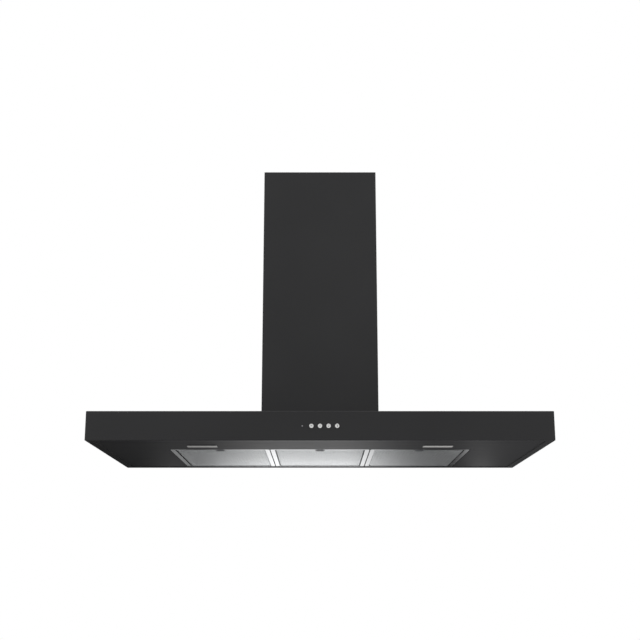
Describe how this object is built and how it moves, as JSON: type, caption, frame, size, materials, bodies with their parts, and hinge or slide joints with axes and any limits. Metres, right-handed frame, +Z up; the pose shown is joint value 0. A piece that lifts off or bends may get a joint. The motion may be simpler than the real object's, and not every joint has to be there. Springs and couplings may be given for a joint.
{
  "type": "chimney range hood",
  "caption": "Wall-mounted chimney hood: flat box canopy with mesh grease filters, lamps and push-buttons, telescopic chimney, and a blower with round outlet.",
  "frame": {"origin": "on the wall plane, midway between the two holes of the wall bracket", "axes": "+Z up, +Y into the wall, so the hood's front faces -Y; +X to the right as seen from the front"},
  "size_m": [0.9, 0.482, 0.636],
  "materials": {
    "satin_grey_paint": "satin powder coat",
    "grey_panel_paint": "semi-gloss coat",
    "galvanised_steel": "zinc-coated sheet",
    "zinc_screw": "zinc-plated",
    "shaft_steel": "ground",
    "filter_aluminium": "bright mill finish",
    "mesh_aluminium": "expanded foil",
    "latch_plastic": "moulded",
    "button_metal": "satin chrome",
    "pilot_plastic": "smoked",
    "lamp_diffuser": "frosted",
    "white_plastic": "moulded",
    "black_plastic": "moulded",
    "grey_plastic": "moulded",
    "circuit_board": "laminate",
    "switch_plastic": "moulded",
    "bush_rubber": "moulded",
    "sintered_bronze": "oiled",
    "motor_paint": "enamel over laminations"
  },
  "bodies": {
    "root": {"blower_box": "galvanised_steel", "box_back": "galvanised_steel", "box_lid": "galvanised_steel", "cable_gland": "black_plastic", "canopy_screws": "zinc_screw", "canopy_shell": "satin_grey_paint", "capacitor": "white_plastic", "capacitor_strap": "galvanised_steel", "casing_left": "grey_plastic", "casing_right": "grey_plastic", "casing_screws": "zinc_screw", "collar_screws": "zinc_screw", "control_board": "circuit_board", "control_housing": "black_plastic", "duct_collar": "galvanised_steel", "flap_pin": "shaft_steel", "lamp_housing_left": "white_plastic", "lamp_housing_right": "white_plastic", "lamp_lens_left": "lamp_diffuser", "lamp_lens_right": "lamp_diffuser", "led_board_left": "circuit_board", "led_board_right": "circuit_board", "lower_chimney": "satin_grey_paint", "motor_bearings": "sintered_bronze", "motor_body": "motor_paint", "motor_bracket": "galvanised_steel", "motor_screws": "zinc_screw", "outlet_duct": "galvanised_steel", "pilot_lens": "pilot_plastic", "rubber_bushes": "bush_rubber", "tact_switches": "switch_plastic", "terminal_box": "black_plastic", "terminal_lid": "black_plastic", "underside_panel": "grey_panel_paint", "wall_bracket": "galvanised_steel"},
    "button_light": {"button_light": "button_metal"},
    "button_speed_1": {"button_speed_1": "button_metal"},
    "button_speed_2": {"button_speed_2": "button_metal"},
    "button_speed_3": {"button_speed_3": "button_metal"},
    "filter_left": {"filter_frame_left": "filter_aluminium", "filter_mesh_left": "mesh_aluminium", "latch_case_left": "latch_plastic"},
    "latch_left": {"latch_slider_left": "latch_plastic"},
    "filter_centre": {"filter_frame_centre": "filter_aluminium", "filter_mesh_centre": "mesh_aluminium", "latch_case_centre": "latch_plastic"},
    "latch_centre": {"latch_slider_centre": "latch_plastic"},
    "filter_right": {"filter_frame_right": "filter_aluminium", "filter_mesh_right": "mesh_aluminium", "latch_case_right": "latch_plastic"},
    "latch_right": {"latch_slider_right": "latch_plastic"},
    "impeller": {"impeller": "galvanised_steel", "impeller_blades": "galvanised_steel", "impeller_rings": "galvanised_steel", "motor_shaft": "shaft_steel"},
    "flap_front": {"flap_front": "galvanised_steel"},
    "flap_rear": {"flap_rear": "galvanised_steel"},
    "upper_chimney": {"upper_chimney": "satin_grey_paint", "chimney_bracket": "galvanised_steel"}
  },
  "joints": [
    {"name": "filter_left_swing", "type": "hinge", "parent": "root", "child": "filter_left", "pos_m": [-0.205, -0.017, -0.2476], "axis": [1, 0, 0], "range_deg": [0, 75]},
    {"name": "filter_centre_swing", "type": "hinge", "parent": "root", "child": "filter_centre", "pos_m": [0, -0.017, -0.2476], "axis": [1, 0, 0], "range_deg": [0, 75]},
    {"name": "filter_right_swing", "type": "hinge", "parent": "root", "child": "filter_right", "pos_m": [0.205, -0.017, -0.2476], "axis": [1, 0, 0], "range_deg": [0, 75]},
    {"name": "latch_left_slide", "type": "slide", "parent": "filter_left", "child": "latch_left", "axis": [0, 1, 0], "range_m": [0, 0.006], "stiffness_N_per_m": 300},
    {"name": "latch_centre_slide", "type": "slide", "parent": "filter_centre", "child": "latch_centre", "axis": [0, 1, 0], "range_m": [0, 0.006], "stiffness_N_per_m": 300},
    {"name": "latch_right_slide", "type": "slide", "parent": "filter_right", "child": "latch_right", "axis": [0, 1, 0], "range_m": [0, 0.006], "stiffness_N_per_m": 300},
    {"name": "button_light_press", "type": "slide", "parent": "root", "child": "button_light", "axis": [0, 1, 0], "range_m": [0, 0.0015], "stiffness_N_per_m": 800},
    {"name": "button_speed_1_press", "type": "slide", "parent": "root", "child": "button_speed_1", "axis": [0, 1, 0], "range_m": [0, 0.0015], "stiffness_N_per_m": 800},
    {"name": "button_speed_2_press", "type": "slide", "parent": "root", "child": "button_speed_2", "axis": [0, 1, 0], "range_m": [0, 0.0015], "stiffness_N_per_m": 800},
    {"name": "button_speed_3_press", "type": "slide", "parent": "root", "child": "button_speed_3", "axis": [0, 1, 0], "range_m": [0, 0.0015], "stiffness_N_per_m": 800},
    {"name": "impeller_spin", "type": "hinge", "parent": "root", "child": "impeller", "pos_m": [0, -0.1152, -0.0788], "axis": [1, 0, 0], "continuous": true},
    {"name": "flap_front_lift", "type": "hinge", "parent": "root", "child": "flap_front", "pos_m": [0, -0.1242, 0.0668], "axis": [-1, 0, 0], "range_deg": [0, 75]},
    {"name": "flap_rear_lift", "type": "hinge", "parent": "root", "child": "flap_rear", "pos_m": [0, -0.1242, 0.0668], "axis": [1, 0, 0], "range_deg": [0, 75]},
    {"name": "upper_chimney_slide", "type": "slide", "parent": "root", "child": "upper_chimney", "axis": [0, 0, 1], "range_m": [0, 0.4]}
  ]
}
